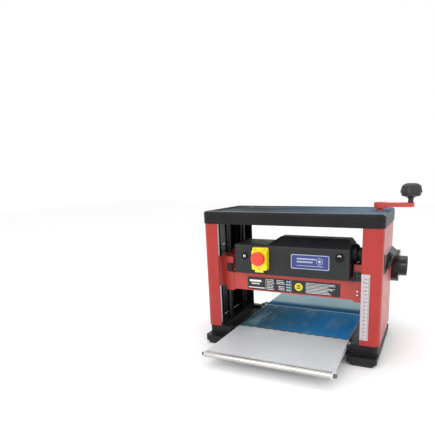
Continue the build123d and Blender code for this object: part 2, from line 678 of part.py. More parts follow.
def badge_plate():
    """Plain name plate with a raised border on the front of the motor cover."""
    plate = block(17, 121, MCOVER_FRONT - 1.4, MCOVER_FRONT, 244.5, 283.5)
    plate = fillet(plate.edges().filter_by(Axis.Y), 4)
    field = block(19, 119, MCOVER_FRONT - 3, MCOVER_FRONT - 0.9, 246.5, 281.5)
    return plate - fillet(field.edges().filter_by(Axis.Y), 3)


def switch_box():
    """Body of the no-volt release switch with the ears and pin of its flap."""
    half = SWITCH_WIDTH / 2
    body = block(SWITCH_X - half, SWITCH_X + half, SWITCH_FRONT, MCOVER_FRONT, SWITCH_BOTTOM, SWITCH_TOP)
    body = fillet(body.edges().filter_by(Axis.Y), 4)
    body -= rod_y(SWITCH_FRONT - 1, MCOVER_FRONT - 1, SWITCH_X, START_Z, 7.2)
    body -= rod_y(SWITCH_FRONT - 1, MCOVER_FRONT - 1, SWITCH_X, MUSHROOM_Z, 6.5)
    hinge_y, hinge_z = SWITCH_FRONT - 3, SWITCH_TOP - 3
    for low, high in ((-16, -10.3), (10.3, 16)):
        ear = rod_x(SWITCH_X + low, SWITCH_X + high, hinge_y, hinge_z, 3)
        ear += block(SWITCH_X + low, SWITCH_X + high, hinge_y, SWITCH_FRONT + 1, hinge_z - 3, hinge_z + 3)
        body += ear
    return body + rod_x(SWITCH_X - 16, SWITCH_X + 16, hinge_y, hinge_z, 1.2)


def chip_profile():
    """(Y, Z) outline of the chip hood behind the cutter."""
    upper = [(BLOCK_Y, 219), (102, 240), (150, 248), (178, 224)]
    return [(BLOCK_Y, 176), *upper, (178, 184), (152, 172), (100, 172)]


def chip_hood():
    """Sheet hood behind the rear beam that leads chips to the right."""
    section = make_face(Polyline(*chip_profile(), close=True))
    inner = offset(section, -2, kind=Kind.INTERSECTION)
    hood = extrude(Plane.YZ.offset(-165) * section, 165 + COLLECTOR_X)
    hood -= extrude(Plane.YZ.offset(-163) * inner, 170 + COLLECTOR_X)
    return hood - block(-160, 160, 80, 90, 184, 207)


def dust_adaptor():
    """Collector box at the hood's right end, with the stepped hose spigot."""
    profile = make_face(Polyline(*chip_profile(), close=True))
    inset = offset(profile, -2.5, kind=Kind.INTERSECTION)
    rim, bore = Edge.make_circle(PORT_R + 3), Edge.make_circle(PORT_R + 0.5)
    section = make_hull([*profile.edges(), Pos(PORT_Y, PORT_Z) * rim])
    inner = make_hull([*inset.edges(), Pos(PORT_Y, PORT_Z) * bore])
    body = extrude(Plane.YZ.offset(COLLECTOR_X) * section, COLLECTOR_END - COLLECTOR_X)
    body += rod_x(COLLECTOR_END - 1, PORT_STEP_X, PORT_Y, PORT_Z, PORT_R)
    body += rod_x(PORT_STEP_X - 1, PORT_END_X, PORT_Y, PORT_Z, PORT_SMALL_R)
    body -= extrude(Plane.YZ.offset(COLLECTOR_X - 1) * inner, COLLECTOR_END - COLLECTOR_X - 1.5)
    body -= rod_x(COLLECTOR_X, PORT_STEP_X - 3, PORT_Y, PORT_Z, PORT_R - 2.5)
    return body - rod_x(PORT_STEP_X - 5, PORT_END_X + 1, PORT_Y, PORT_Z, PORT_SMALL_R - 2.5)


def roller_bearings():
    """Cutter bearings and feed roller bushes in the side plates."""
    rings = []
    for sx in SIDES:
        low, high = sorted((sx * BLOCK_X, sx * (BLOCK_X + SIDE_PLATE)))
        race = rod_x(low, high, 0, CUTTER_Z, 17) - rod_x(low - 1, high + 1, 0, CUTTER_Z, 7.5 + RUNNING)
        rings.append(race)
        for sy in SIDES:
            bush = rod_x(low, high, sy * ROLLER_Y, ROLLER_Z, 10)
            rings.append(bush - rod_x(low - 1, high + 1, sy * ROLLER_Y, ROLLER_Z, FEED_SHAFT_R + RUNNING))
    return rings


def feed_gearbox():
    """Closed reduction box between the cutter's left journal and the front feed roller."""
    box = block(-193.5, -184, -62, 18, 158, 206)
    box = fillet(box.edges().filter_by(Axis.X), 8)
    box -= rod_x(-200, -180, -ROLLER_Y, ROLLER_Z, FEED_SHAFT_R + 0.3)
    return box - rod_x(-192.5, -180, 0, CUTTER_Z, 7.8)


def feed_chain():
    """Chain that turns the rear feed roller with the front one."""
    chain = chain_loop(2 * ROLLER_Y, FEED_TEETH)
    return Plane(origin=(-194.2, 0, ROLLER_Z), x_dir=(0, 1, 0), z_dir=(-1, 0, 0)) * chain


def drive_belt():
    """Ribbed belt from the motor pulley down to the cutter pulley."""
    pulleys = [(MOTOR_Y, MOTOR_Z, MOTOR_PULLEY_R), (0, CUTTER_Z, CUTTER_PULLEY_R)]
    return loop_band(pulleys, 0.3, 0.3 + BELT, 9, Plane.YZ.offset(187.5))


def pawl_shaft():
    """Rod that carries the anti-kickback pawls."""
    reach = BLOCK_X + SIDE_PLATE
    return rod_x(-reach, reach, PAWL_Y, PAWL_Z, PAWL_SHAFT_R)


def cable_gland():
    """Inlet gland for the supply lead in the rear of the motor cover."""
    gland = rod_y(MCOVER_REAR - 8, MCOVER_REAR + 12, -125, 246, 7)
    gland += Pos(-125, MCOVER_REAR, 246) * Rot(-90, 0, 0) * extrude(RegularPolygon(10, 6), 6)
    return gland - rod_y(MCOVER_REAR - 9, MCOVER_REAR + 13, -125, 246, 4)


# ---- turning pieces in the carriage -------------------------------------------------------------
def cutter_head():
    """Cutter block with two knife slots and its journals."""
    head = rod_x(-166, 166, 0, CUTTER_Z, CUTTER_R)
    head += rod_x(-192, 198, 0, CUTTER_Z, 7.5)
    slot = block(-167, 167, -1.5, 7, 11, KNIFE_R + 1)
    for turn in (25, 205):
        head -= Pos(0, 0, CUTTER_Z) * Rot(turn, 0, 0) * slot
    return head


def cutter_knives():
    """Two disposable knives with their clamping bars."""
    pieces = []
    knife = prism_x([(-1.5, 11.4), (1.5, 11.4), (1.5, KNIFE_R - 2), (-1.5, KNIFE_R)], -165, 165)
    clamp = block(-165, 165, 1.5, 6.6, 11.4, CUTTER_R - 2.4)
    for x in (-130, -78, -26, 26, 78, 130):
        clamp -= rod_z(16, 24, x, 4, 1.7)
    for turn in (25, 205):
        for piece in (knife, clamp):
            pieces.append(Pos(0, 0, CUTTER_Z) * Rot(turn, 0, 0) * piece)
    return pieces


def pulley(radius, y, z, bore):
    """A flanged belt pulley on the right end of a shaft."""
    wheel = rod_x(187, 197, y, z, radius)
    wheel += rod_x(185.8, 187.2, y, z, radius + 1.5) + rod_x(196.8, 198, y, z, radius + 1.5)
    for i in range(6):
        hole = Pos(192, y, z) * Rot(60 * i, 0, 0) * Pos(0, 0, (radius + bore) / 2) * Rot(0, 90, 0)
        wheel -= hole * Cylinder((radius - bore) / 4, 20)
    return wheel - rod_x(180, 200, y, z, bore)


def motor_armature():
    """Armature: shaft, wound core and commutator."""
    shaft = rod_x(2, 198, MOTOR_Y, MOTOR_Z, MOTOR_SHAFT_R)
    core = rod_x(18, 100, MOTOR_Y, MOTOR_Z, STATOR_BORE - 0.4)
    for i in range(12):
        slot = Pos(59, MOTOR_Y, MOTOR_Z) * Rot(30 * i, 0, 0) * Pos(0, 0, STATOR_BORE - 2)
        core -= slot * Box(130, 2, 8)
    return shaft + core + rod_x(136, 158, MOTOR_Y, MOTOR_Z, 14)


def motor_fan():
    """Cooling fan between the windings and the commutator."""
    fan = rod_x(112, 115, MOTOR_Y, MOTOR_Z, 34) + rod_x(112, 128, MOTOR_Y, MOTOR_Z, 11)
    for i in range(10):
        blade = Pos(121, MOTOR_Y, MOTOR_Z) * Rot(36 * i, 0, 0) * Pos(0, 0, 21.5)
        fan += blade * Box(13, 2, 23)
    return fan - rod_x(110, 130, MOTOR_Y, MOTOR_Z, MOTOR_SHAFT_R)


def feed_roller(side):
    """Rubber sleeve of a feed roller."""
    y = side * ROLLER_Y
    sleeve = rod_x(-164, 164, y, ROLLER_Z, ROLLER_R)
    return sleeve - rod_x(-170, 170, y, ROLLER_Z, FEED_SHAFT_R)


def feed_shaft(side):
    """Steel shaft of a feed roller with its chain wheel at the left end."""
    y = side * ROLLER_Y
    shaft = rod_x(-199, BLOCK_X + SIDE_PLATE, y, ROLLER_Z, FEED_SHAFT_R)
    wheel = Pos(-195.9, y, ROLLER_Z) * Rot(0, -90, 0) * toothed_disc(FEED_TEETH, 2.6)
    return shaft + wheel


def anti_kickback_pawls():
    """Row of pawls hanging from their rod in front of the infeed roller."""
    pawls = []
    for i in range(-8, 9):
        face = loop_face([(PAWL_Y, PAWL_Z, 5), (PAWL_Y, 159.5, 2)])
        pawl = extrude(Plane.YZ.offset(18 * i - 2) * face, 4)
        pawls.append(pawl - rod_x(18 * i - 3, 18 * i + 3, PAWL_Y, PAWL_Z, PAWL_SHAFT_R + RUNNING))
    return pawls


# ---- controls -----------------------------------------------------------------------------------
def switch_flap():
    """Hinged flap over the switch, carrying the emergency-stop mushroom."""
    half = SWITCH_WIDTH / 2
    low, high = SWITCH_BOTTOM + 1, SWITCH_TOP - 7
    flap = block(SWITCH_X - half, SWITCH_X + half, FLAP_FRONT, SWITCH_FRONT - 0.4, low, high)
    flap = fillet(flap.edges().filter_by(Axis.Y), 4)
    flap = fillet(flap.faces().sort_by(Axis.Y)[0].edges(), 1.2)
    inner = half - 3
    flap -= block(SWITCH_X - inner, SWITCH_X + inner, FLAP_FRONT + 3, SWITCH_FRONT + 1, low + 3, high - 3)
    flap += block(SWITCH_X - 9.7, SWITCH_X + 9.7, -137, -134, high - 1, SWITCH_TOP - 3)
    flap += rod_x(SWITCH_X - 9.7, SWITCH_X + 9.7, SWITCH_FRONT - 3, SWITCH_TOP - 3, 3)
    flap += block(SWITCH_X - 12, SWITCH_X + 12, FLAP_FRONT, FLAP_FRONT + 3, low - 6, low + 4)
    flap -= rod_x(SWITCH_X - 11, SWITCH_X + 11, SWITCH_FRONT - 3, SWITCH_TOP - 3, 1.2 + RUNNING)
    return flap - rod_y(FLAP_FRONT - 1, FLAP_FRONT + 4, SWITCH_X, MUSHROOM_Z, 5.2)


def stop_button():
    """Red mushroom on its stem, pressed through the flap."""
    stem = rod_y(FLAP_FRONT - 8, SWITCH_FRONT - 3.2, SWITCH_X, MUSHROOM_Z, 5)
    head = rod_y(FLAP_FRONT - 16, FLAP_FRONT - 4.4, SWITCH_X, MUSHROOM_Z, 19)
    head = fillet(head.edges().filter_by(GeomType.CIRCLE).sort_by(Axis.Y)[0], 5)
    head = fillet(head.edges().filter_by(GeomType.CIRCLE).sort_by(Axis.Y)[-1], 2)
    return stem + head


def start_button():
    """Green start button under the flap."""
    button = rod_y(SWITCH_FRONT - 2.5, SWITCH_FRONT + 6, SWITCH_X, START_Z, 7)
    return chamfer(button.edges().filter_by(GeomType.CIRCLE).sort_by(Axis.Y)[0], 0.8)


def reset_button():
    """Overload reset plunger at the left of the motor cover."""
    button = rod_y(MCOVER_FRONT - 3.8, MCOVER_FRONT + 10, RESET_X, RESET_Z, 6)
    return fillet(button.edges().filter_by(GeomType.CIRCLE).sort_by(Axis.Y)[0], 1)


# ---- folding tables -----------------------------------------------------------------------------
def infeed_table():
    """Welded steel table: top sheet, front lip, stiffening ribs, and flanges with hinge ears."""
    half = TABLE_WIDTH / 2
    rear = PIVOT_Y + 5.5
    under = BED_TOP - SHEET
    sheet = block(-half, half, TABLE_TIP, rear, under, BED_TOP)
    for i in range(-6, 7):
        sheet -= block(26 * i - 7, 26 * i + 7, rear - 1.2, rear + 1, under - 1, BED_TOP + 1)
    lip = block(SHEET - half, half - SHEET, TABLE_TIP, TABLE_TIP + 2, 27, under)
    ribs = [block(x - 1, x + 1, TABLE_TIP + 2, PIVOT_Y - 16, 29, under) for x in (-110, -37, 37, 110)]
    flange = prism_x(
        [
            (TABLE_TIP, under),
            (TABLE_TIP, 25),
            (PIVOT_Y - 8, PIVOT_Z - 8),
            (PIVOT_Y + 4, PIVOT_Z - 8),
            (PIVOT_Y + 9, PIVOT_Z),
            (PIVOT_Y + 6.3, under),
        ],
        half - SHEET,
        half,
    )
    bracket = block(half, half + 3, TABLE_ROLLER_Y, TABLE_TIP + 22, 25, under)
    bracket += rod_x(half, half + 3, TABLE_ROLLER_Y, TABLE_ROLLER_Z, 8.5)
    side = flange + bracket
    side -= rod_x(half - 5, half + 1, PIVOT_Y, PIVOT_Z, PIVOT_R + RUNNING)
    side -= rod_x(half - 5, half + 5, TABLE_ROLLER_Y, TABLE_ROLLER_Z, TABLE_AXLE_R)
    return [sheet, lip, *ribs, *both_sides(side)]


def infeed_roller_axle():
    """Fixed axle of the infeed table's roller, with its domed end nuts."""
    half = TABLE_WIDTH / 2
    axle = rod_x(-half - 4, half + 4, TABLE_ROLLER_Y, TABLE_ROLLER_Z, TABLE_AXLE_R)
    nut = rod_x(half + 3, half + 12, TABLE_ROLLER_Y, TABLE_ROLLER_Z, 5)
    nut = fillet(nut.edges().filter_by(GeomType.CIRCLE).sort_by(Axis.X)[-1], 3)
    for piece in both_sides(nut):
        axle += piece
    return axle


def infeed_table_roller():
    """Free-turning roller along the infeed table's outer edge."""
    half = TABLE_WIDTH / 2 - 0.5
    roller = rod_x(-half, half, TABLE_ROLLER_Y, TABLE_ROLLER_Z, TABLE_ROLLER_R - 0.6)
    return roller - rod_x(-half - 1, half + 1, TABLE_ROLLER_Y, TABLE_ROLLER_Z, TABLE_AXLE_R + RUNNING)


def at_outfeed(solid):
    """The same piece at the outfeed side."""
    return mirror(solid, about=Plane.XZ.offset(-MIDDLE_Y))


# ---- every node and its solids ------------------------------------------------------------------
def nodes():
    """All sub-parts by node name."""
    return {
        "base_deck": base_deck(),
        "base_sides": base_sides(),
        "rubber_feet": rubber_feet(),
        "bed_plate": bed_plate(),
        "guide_columns": guide_columns(),
        "top_plate": top_plate(),
        "top_cover": top_cover(),
        "housing_left": housing(-1),
        "housing_right": housing(1),
        "carry_grips": carry_grips(),
        "scale_strip": scale_strip(),
        "stand_screws": stand_screws(),
        "screw_bushes": screw_bushes(),
        "lift_chain": lift_chain(),
        "table_pivot_pins": table_pivot_pins(),
        "lead_screw_right": lead_screw(1),
        "lead_screw_left": lead_screw(-1),
        "lift_sprocket_right": lift_sprocket(1),
        "lift_sprocket_left": lift_sprocket(-1),
        "crank_arm": crank_arm(),
        "crank_bolts": crank_bolts(),
        "crank_knob": crank_knob(),
        "carriage_frame": carriage_frame(),
        "column_bushes": column_bushes(),
        "lead_nuts": lead_nuts(),
        "depth_pointer": depth_pointer(),
        "cover_brackets": cover_brackets(),
        "motor_cover": motor_cover(),
        "motor_stator": motor_stator(),
        "motor_end_bell": motor_end_bell(),
        "brush_caps": brush_caps(),
        "badge_plate": badge_plate(),
        "switch_box": switch_box(),
        "chip_hood": chip_hood(),
        "dust_adaptor": dust_adaptor(),
        "roller_bearings": roller_bearings(),
        "feed_gearbox": feed_gearbox(),
        "feed_chain": feed_chain(),
        "drive_belt": drive_belt(),
        "pawl_shaft": pawl_shaft(),
        "cable_gland": cable_gland(),
        "cutter_head": cutter_head(),
        "cutter_knives": cutter_knives(),
        "cutter_pulley": pulley(CUTTER_PULLEY_R, 0, CUTTER_Z, 7.5),
        "motor_armature": motor_armature(),
        "motor_fan": motor_fan(),
        "motor_pulley": pulley(MOTOR_PULLEY_R, MOTOR_Y, MOTOR_Z, MOTOR_SHAFT_R),
        "feed_roller_front": feed_roller(-1),
        "feed_roller_rear": feed_roller(1),
        "feed_shaft_front": feed_shaft(-1),
        "feed_shaft_rear": feed_shaft(1),
        "anti_kickback_pawls": anti_kickback_pawls(),
        "switch_flap": switch_flap(),
        "stop_button": stop_button(),
        "start_button": start_button(),
        "reset_button": reset_button(),
        "infeed_table": [*infeed_table(), infeed_roller_axle()],
        "infeed_table_roller": infeed_table_roller(),
        "outfeed_table": [at_outfeed(part) for part in (*infeed_table(), infeed_roller_axle())],
        "outfeed_table_roller": at_outfeed(infeed_table_roller()),
    }


def main():
    os.makedirs("parts", exist_ok=True)
    for name, shape in nodes().items():
        if isinstance(shape, list):
            shape = Compound(children=shape)
        export_step(shape, os.path.join("parts", name + ".step"))


main()
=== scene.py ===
"""Looks of the thickness planer: materials, small pieces, camera and studio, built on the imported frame."""
import math
import random

import bmesh
import bpy
from mathutils import Matrix, Vector


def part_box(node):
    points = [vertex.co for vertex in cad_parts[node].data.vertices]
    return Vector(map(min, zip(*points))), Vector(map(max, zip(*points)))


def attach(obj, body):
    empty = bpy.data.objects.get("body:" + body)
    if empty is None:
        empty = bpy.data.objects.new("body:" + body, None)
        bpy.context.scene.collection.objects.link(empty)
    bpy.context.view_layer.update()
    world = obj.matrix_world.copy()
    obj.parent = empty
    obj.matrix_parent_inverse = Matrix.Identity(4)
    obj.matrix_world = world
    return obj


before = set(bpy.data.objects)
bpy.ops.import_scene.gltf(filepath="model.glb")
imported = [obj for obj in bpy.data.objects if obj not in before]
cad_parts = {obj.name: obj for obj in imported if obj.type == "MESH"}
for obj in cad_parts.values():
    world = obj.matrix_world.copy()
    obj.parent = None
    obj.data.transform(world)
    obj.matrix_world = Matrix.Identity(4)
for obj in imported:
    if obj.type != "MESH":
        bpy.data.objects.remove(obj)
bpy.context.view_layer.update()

MM = 0.001


# ---- node helpers -------------------------------------------------------------------------------
class Nodes:
    """Short calls for building one material's node tree."""

    def __init__(self, name):
        self.material = bpy.data.materials.new(name)
        self.material.use_nodes = True
        self.tree = self.material.node_tree
        self.tree.nodes.clear()
        output = self.tree.nodes.new("ShaderNodeOutputMaterial")
        self.shader = self.tree.nodes.new("ShaderNodeBsdfPrincipled")
        self.link(self.shader.outputs[0], output.inputs["Surface"])
        self.place = self.tree.nodes.new("ShaderNodeTexCoord").outputs["Object"]

    def link(self, source, target):
        self.tree.links.new(source, target)

    def feed(self, socket, value):
        """Set a socket to a number, or link it to another node's output."""
        if isinstance(value, bpy.types.NodeSocket):
            self.link(value, socket)
        else:
            socket.default_value = value

    def math(self, kind, a, b=0.0, clamp=False):
        node = self.tree.nodes.new("ShaderNodeMath")
        node.operation = kind
        node.use_clamp = clamp
        self.feed(node.inputs[0], a)
        self.feed(node.inputs[1], b)
        return node.outputs[0]

    def stretched(self, scale):
        """Object coordinates scaled along each axis."""
        node = self.tree.nodes.new("ShaderNodeMapping")
        node.inputs["Scale"].default_value = scale
        self.link(self.place, node.inputs["Vector"])
        return node.outputs[0]

    def noise(self, scale, detail=4.0, rough=0.55, stretch=(1, 1, 1)):
        node = self.tree.nodes.new("ShaderNodeTexNoise")
        node.inputs["Scale"].default_value = scale
        node.inputs["Detail"].default_value = detail
        node.inputs["Roughness"].default_value = rough
        self.link(self.stretched(stretch), node.inputs["Vector"])
        return node.outputs["Fac"]

    def span(self, value, low, high, to_low, to_high):
        """Map a value from one range to another, clamped."""
        node = self.tree.nodes.new("ShaderNodeMapRange")
        self.feed(node.inputs["Value"], value)
        for name, number in (("From Min", low), ("From Max", high), ("To Min", to_low), ("To Max", to_high)):
            node.inputs[name].default_value = number
        return node.outputs[0]

    def mix(self, factor, a, b):
        node = self.tree.nodes.new("ShaderNodeMix")
        node.data_type = "RGBA"
        self.feed(node.inputs["Factor"], factor)
        self.feed(node.inputs["A"], rgba(a) if isinstance(a, tuple) else a)
        self.feed(node.inputs["B"], rgba(b) if isinstance(b, tuple) else b)
        return node.outputs["Result"]

    def tint(self, mask, color):
        """Lay a colour over the base colour as far as the mask says."""
        base = self.shader.inputs["Base Color"]
        self.link(self.mix(mask, base.links[0].from_socket, color), base)

    def axes(self):
        """The x, y and z object coordinates."""
        node = self.tree.nodes.new("ShaderNodeSeparateXYZ")
        self.link(self.place, node.inputs[0])
        return node.outputs

    def edge(self, radius):
        """The normal softened at edges, and a mask that is 1 on an edge."""
        bevel = self.tree.nodes.new("ShaderNodeBevel")
        bevel.samples = 4
        bevel.inputs["Radius"].default_value = radius
        geometry = self.tree.nodes.new("ShaderNodeNewGeometry")
        dot = self.tree.nodes.new("ShaderNodeVectorMath")
        dot.operation = "DOT_PRODUCT"
        self.link(bevel.outputs[0], dot.inputs[0])
        self.link(geometry.outputs["Normal"], dot.inputs[1])
        return bevel.outputs[0], self.span(dot.outputs["Value"], 0.93, 0.995, 1.0, 0.0)

    def bump(self, height, distance, strength=1.0, normal=None):
        node = self.tree.nodes.new("ShaderNodeBump")
        node.inputs["Distance"].default_value = distance
        node.inputs["Strength"].default_value = strength
        self.feed(node.inputs["Height"], height)
        if normal is not None:
            self.link(normal, node.inputs["Normal"])
        return node.outputs[0]


def rgba(color):
    return (*color, 1.0)


def srgb(r, g, b):
    """Linear colour from 8-bit display values."""
    out = []
    for v in (r, g, b):
        v /= 255
        out.append(v / 12.92 if v <= 0.04045 else ((v + 0.055) / 1.055) ** 2.4)
    return tuple(out)


# ---- materials ----------------------------------------------------------------------------------
MOTTLE_SCALE = 14.0  # noise scale of the broad patches of colour
SMUDGE_SCALE = 38.0  # noise scale of the patches of gloss
CHIP_SCALE = 160.0  # noise scale of the breaks in worn edges
WEAR_STRENGTH = 0.55
COAT_ROUGHNESS = 0.12


def surface(name, color, rough, metallic=0.0, grain=900.0, depth=0.02, vary=0.12, wear=None,
            stretch=(1, 1, 1), rough_span=0.12, bevel=0.5, coat=0.0, specular=0.5):
    """A finished surface: mottled colour, uneven gloss, fine relief, softened and worn edges."""
    n = Nodes(name)
    broad = n.noise(MOTTLE_SCALE, 5.0)
    fine = n.noise(grain, 3.0, 0.6, stretch)
    dark = tuple(c * (1 - vary) for c in color)
    light = tuple(min(1.0, c * (1 + vary) + 0.002) for c in color)
    tone = n.mix(n.span(broad, 0.35, 0.65, 0.0, 1.0), dark, light)
    normal, edge = n.edge(bevel * MM)
    if wear:
        breaks = n.span(n.noise(CHIP_SCALE, 6.0, 0.7), 0.42, 0.62, 0.0, 1.0)
        chipped = n.math("MULTIPLY", edge, breaks)
        tone = n.mix(n.math("MULTIPLY", chipped, WEAR_STRENGTH), tone, wear)
    n.link(tone, n.shader.inputs["Base Color"])
    patches = n.span(n.noise(SMUDGE_SCALE, 6.0, 0.62), 0.3, 0.7, -0.5, 0.5)
    smudge = n.math("ADD", patches, n.span(fine, 0.3, 0.7, -0.25, 0.25))
    gloss = n.math("ADD", n.math("MULTIPLY", smudge, rough_span), rough, clamp=True)
    n.link(gloss, n.shader.inputs["Roughness"])
    n.shader.inputs["Metallic"].default_value = metallic
    n.shader.inputs["Coat Weight"].default_value = coat
    n.shader.inputs["Coat Roughness"].default_value = COAT_ROUGHNESS
    n.shader.inputs["Specular IOR Level"].default_value = specular
    n.link(n.bump(fine, depth * MM, 1.0, normal), n.shader.inputs["Normal"])
    return n


def housing_paint():
    """Red powder coat outside; painted shade inside the channel, drawn black."""
    n = surface("housing_paint", srgb(167, 37, 32), 0.36, grain=420.0, depth=0.05, vary=0.05,
                wear=(0.5, 0.14, 0.12), rough_span=0.1, bevel=0.8, coat=0.15, specular=0.4)
    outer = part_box("housing_right")[1]
    radius = 18 * MM
    x, y, _ = n.axes()
    sides = ((x, outer.x), (y, outer.y))
    over = [n.math("SUBTRACT", n.math("ABSOLUTE", v), half - radius) for v, half in sides]
    outside = [n.math("MAXIMUM", v, 0.0) for v in over]
    squares = [n.math("MULTIPLY", v, v) for v in outside]
    corner = n.math("SQRT", n.math("ADD", *squares))
    inner = n.math("MINIMUM", n.math("MAXIMUM", *over), 0.0)
    depth = n.math("SUBTRACT", radius, n.math("ADD", corner, inner))
    paint_ends, shade_starts = 1.6 * MM, 1.9 * MM
    # Black deeper than the sheet's outer face: painted shade inside the channel.
    n.tint(n.span(depth, paint_ends, shade_starts, 0.0, 1.0), (0.008, 0.008, 0.009))
    return n.material


def bed_steel():
    """Ground steel with fine lines along the feed direction."""
    n = surface("bed_steel", (0.36, 0.4, 0.43), 0.24, 1.0, grain=1500.0, depth=0.004, vary=0.1,
                stretch=(1, 0.02, 1), rough_span=0.2, bevel=0.4)
    return n.material


def column_chrome():
    """Hard chrome drawn dark as painted shade of the channel round it, with a painted highlight on the front
    left column.
    """
    # Dark colour for all the columns: painted shade of the channel they stand in.
    n = surface("column_chrome", (0.035, 0.035, 0.04), 0.3, 1.0, grain=600.0, depth=0.002)
    x, y, _ = n.axes()
    strip_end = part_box("guide_columns")[0].x + 20.8 * MM
    strip = n.span(x, strip_end, strip_end + 1.2 * MM, 1.0, 0.0)
    # A pale matt strip on the front left column: painted highlight.
    painted_highlight = n.math("MULTIPLY", n.math("LESS_THAN", y, 0.0), strip)
    n.tint(painted_highlight, (0.95, 0.96, 0.98))
    n.link(n.span(painted_highlight, 0.0, 1.0, 1.0, 0.1), n.shader.inputs["Metallic"])
    return n.material


def film_blue():
    """Protective film: blue plastic with wrinkles, drawn opaque and paler towards the rear; painted sheen
    brightens it to the right, and its pale smears and streaks are smudges with painted reflections in them.
    """
    n = Nodes("film_blue")
    x, y, _ = n.axes()
    low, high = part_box("bed_plate")
    sheen_across = n.span(x, low.x * 0.7, high.x * 0.9, 0.0, 1.0)
    along = n.span(y, low.y + 120 * MM, high.y, 0.0, 1.0)
    broad = n.span(n.noise(9.0, 5.0, 0.6, (1, 0.35, 1)), 0.35, 0.65, 0.0, 1.0)
    # Dark teal on the left to bright blue on the right: painted sheen.
    tone = n.mix(sheen_across, (0.055, 0.13, 0.18), (0.03, 0.32, 0.8))
    tone = n.mix(n.math("MULTIPLY", broad, 0.3), tone, (0.02, 0.12, 0.22))
    tone = n.mix(n.math("MULTIPLY", along, 0.4), tone, (0.1, 0.2, 0.28))
    # Pale smears and faint streaks: smudges on the film with painted reflections in them.
    smear = n.span(n.noise(15.0, 6.0, 0.6, (1.3, 0.45, 1)), 0.5, 0.68, 0.0, 1.0)
    smear = n.math("MULTIPLY", smear, n.span(x, low.x, high.x, 0.62, 0.2))
    streak = n.span(n.noise(30.0, 4.0, 0.5, (2.6, 0.12, 1)), 0.52, 0.72, 0.0, 1.0)
    smudge_and_reflection = n.math("MAXIMUM", smear, n.math("MULTIPLY", streak, 0.05))
    n.link(n.mix(smudge_and_reflection, tone, (0.3, 0.47, 0.55)), n.shader.inputs["Base Color"])
    n.link(n.span(broad, 0.0, 1.0, 0.1, 0.24), n.shader.inputs["Roughness"])
    n.shader.inputs["Specular IOR Level"].default_value = 0.0
    wrinkle = n.noise(9.0, 5.0, 0.5, (3.0, 0.5, 1))
    n.link(n.bump(wrinkle, 0.5 * MM, 0.5), n.shader.inputs["Normal"])
    return n.material


def dark_ends(n):
    """Darken the axle's nuts outside a table's roller brackets."""
    x, _, _ = n.axes()
    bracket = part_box("bed_plate")[1].x + 3.1 * MM
    ends = n.span(n.math("ABSOLUTE", x), bracket, bracket + 0.4 * MM, 0.0, 1.0)
    n.tint(ends, (0.1, 0.1, 0.105))


def table_coat():
    """Satin silver-grey coating with fine lines along the feed direction."""
    n = surface("table_coat", (0.66, 0.69, 0.72), 0.42, 0.1, grain=1300, depth=0.01, vary=0.04,
                stretch=(1, 0.04, 1), rough_span=0.12, bevel=0.5)
    dark_ends(n)
    return n.material


def outfeed_coat():
    """The table coating under film that pales away from the bed; bare below the top sheet's face."""
    n = surface("outfeed_coat", (0.27, 0.38, 0.42), 0.4, grain=1300.0, depth=0.01, vary=0.05,
                stretch=(1, 0.04, 1), specular=0.0)
    _, y, z = n.axes()
    bed_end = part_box("bed_plate")[1].y
    wavy = n.math("ADD", y, n.math("MULTIPLY", n.noise(22.0), 8 * MM))
    n.tint(n.span(wavy, bed_end + 30 * MM, bed_end + 60 * MM, 1.0, 0.0), (0.025, 0.1, 0.19))
    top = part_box("outfeed_table")[1].z
    n.tint(n.span(z, top - 0.9 * MM, top - 0.5 * MM, 1.0, 0.0), (0.5, 0.52, 0.54))
    dark_ends(n)
    return n.material


def cover_tray():
    """Black moulded cover whose glossy tray carries painted grey and blue sheens and a painted reflection
    along its front wall.
    """
    n = surface("cover_tray", (0.008, 0.008, 0.0095), 0.4, grain=900.0, depth=0.05, wear=(0.05, 0.05, 0.055),
                bevel=1.6, specular=0.3)
    x, y, z = n.axes()
    low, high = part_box("top_cover")
    raised = n.span(z, high.z - 6 * MM, high.z - 5 * MM, 0.0, 1.0)
    between = n.span(n.math("ABSOLUTE", y), high.y - 12 * MM, high.y - 9 * MM, 1.0, 0.0)
    inside = n.math("MULTIPLY", raised, between)
    # Grey streaks and a blue-grey right side inside the tray: painted sheen.
    streak = n.span(n.noise(5.0, 4.0, 0.5, (0.7, 2.6, 1)), 0.4, 0.62, 0.0, 1.0)
    sheen_across = n.span(x, low.x * 0.5, high.x * 0.7, 0.0, 1.0)
    sheen = n.mix(streak, (0.02, 0.03, 0.037), (0.09, 0.1, 0.105))
    sheen = n.mix(n.math("MULTIPLY", sheen_across, 0.75), sheen, (0.15, 0.21, 0.28))
    # A pale line along the tray's front wall: painted reflection.
    front = n.span(y, low.y + 15 * MM, low.y + 21 * MM, 1.0, 0.0)
    rim_reflection = n.math("MULTIPLY", front, n.span(n.noise(9.0, 3.0, 0.5, (1, 0.2, 1)), 0.42, 0.56, 0.1, 1.0))
    sheen = n.mix(rim_reflection, sheen, (0.3, 0.33, 0.34))
    n.tint(inside, sheen)
    gloss = n.shader.inputs["Roughness"].links[0].from_socket
    shine = n.math("SUBTRACT", gloss, n.math("MULTIPLY", inside, 0.2), clamp=True)
    n.link(shine, n.shader.inputs["Roughness"])
    n.link(n.span(inside, 0.0, 1.0, 0.2, 0.0), n.shader.inputs["Specular IOR Level"])
    return n.material


